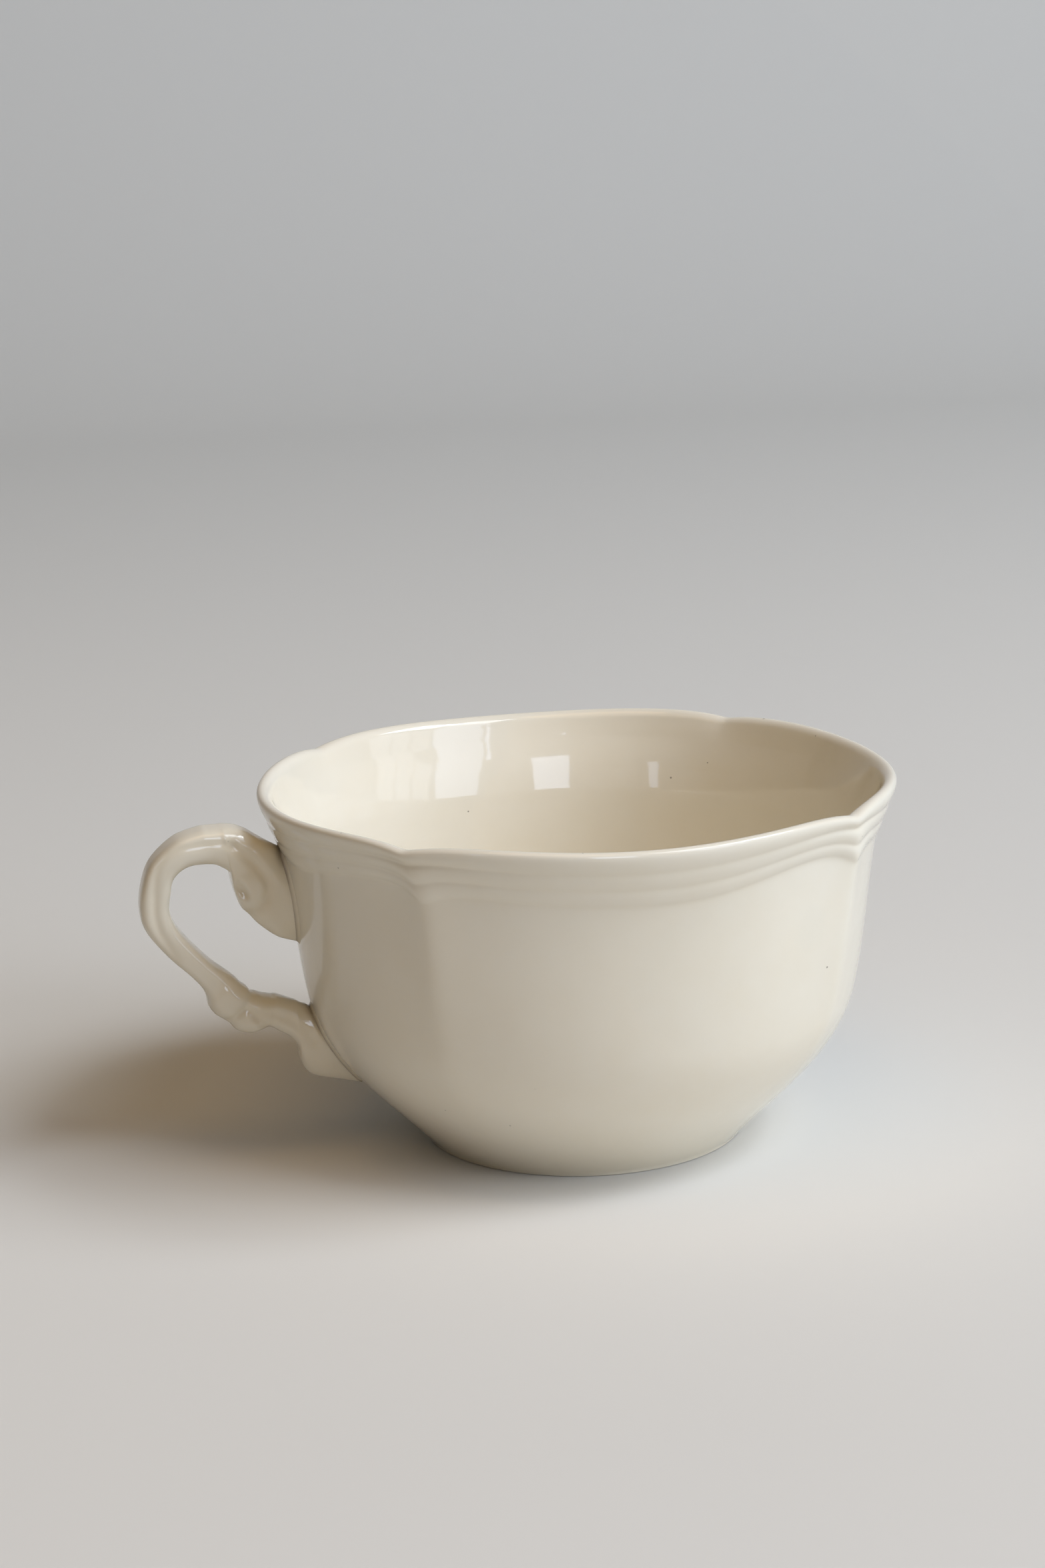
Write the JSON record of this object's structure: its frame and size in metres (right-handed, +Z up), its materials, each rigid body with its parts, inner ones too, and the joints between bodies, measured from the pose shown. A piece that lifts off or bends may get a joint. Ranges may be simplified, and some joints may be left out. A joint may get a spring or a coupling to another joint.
{
  "type": "breakfast cup",
  "caption": "Wide cream glazed earthenware breakfast cup with a lobed, reeded rim, soft corner ribs, a foot ring and a scrolled leaf handle, for hot drinks.",
  "frame": {"origin": "middle of the cup's overall length and width, on the surface that the foot ring stands on", "axes": "+Z up; the handle points along -X, so +X runs away from it across the bowl; +Y is to the left when looking along +X"},
  "size_m": [0.139, 0.1166, 0.0672],
  "materials": {
    "bowl_glaze": "gloss",
    "handle_glaze": "gloss",
    "upper_slip": "gloss",
    "lower_slip": "gloss"
  },
  "bodies": {
    "root": {"bowl": "bowl_glaze", "handle": "handle_glaze", "upper_slip_joint": "upper_slip", "lower_slip_joint": "lower_slip"}
  },
  "joints": []
}
